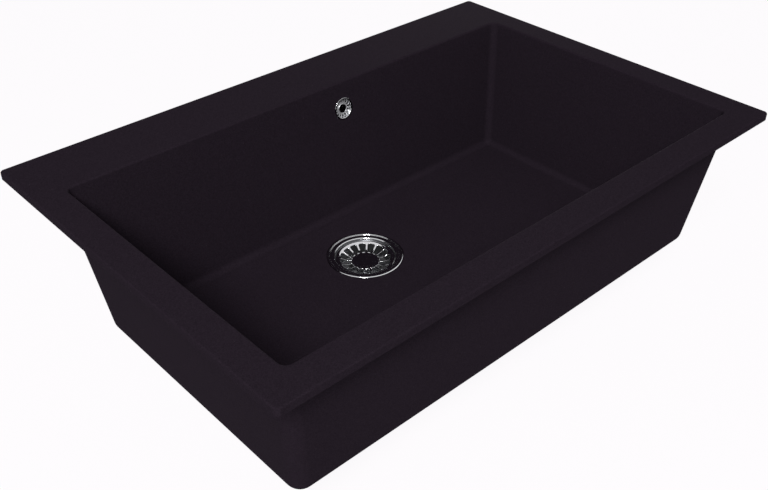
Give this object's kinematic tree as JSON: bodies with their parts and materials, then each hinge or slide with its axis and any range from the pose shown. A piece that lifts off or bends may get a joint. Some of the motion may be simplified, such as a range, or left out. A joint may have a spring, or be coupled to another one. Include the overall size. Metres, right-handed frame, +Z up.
{
  "type": "kitchen sink",
  "caption": "Drop-in single-bowl kitchen sink cast in dark composite stone, with a wide rear ledge, a lift-out strainer basket, a slotted overflow and its drain fittings.",
  "frame": {"origin": "centre of the rim in plan, in the plane of the rim's underside, which is the worktop's surface when fitted", "axes": "+X to the user's right along the rim's long side, +Y to the back towards the wide ledge, +Z up"},
  "size_m": [0.838, 0.559, 0.302],
  "materials": {
    "stone": "matte cast composite stone, near black with sparse pale grains",
    "polished_steel": "mirror-polished pressed stainless steel",
    "satin_steel": "satin stainless steel",
    "turned_steel": "turned stainless steel",
    "fitting_plastic": "moulded white polypropylene",
    "nut_plastic": "moulded dark grey polypropylene",
    "seal_rubber": "matte black rubber",
    "brass": "machined brass"
  },
  "bodies": {
    "sink": {"sink_bowl": "stone", "drain_flange": "polished_steel", "flange_gasket": "seal_rubber", "floor_gasket": "seal_rubber", "drain_body": "fitting_plastic", "outlet_spigot": "fitting_plastic", "drain_screw": "turned_steel", "screw_insert": "brass", "overflow_rosette": "satin_steel", "overflow_screw": "polished_steel", "overflow_gasket": "seal_rubber", "overflow_elbow": "fitting_plastic", "overflow_insert": "brass", "overflow_pipe": "fitting_plastic", "upper_pipe_nut": "nut_plastic", "upper_pipe_seal": "seal_rubber", "lower_pipe_nut": "nut_plastic", "lower_pipe_seal": "seal_rubber"},
    "basket": {"strainer_basket": "polished_steel", "basket_stem": "turned_steel", "stopper_plate": "turned_steel", "stopper_seal": "seal_rubber", "stem_nut": "turned_steel"}
  },
  "joints": [
    {"name": "basket_lift", "type": "slide", "parent": "sink", "child": "basket", "axis": [0, 0, 1], "range_m": [0, 0.27]}
  ]
}
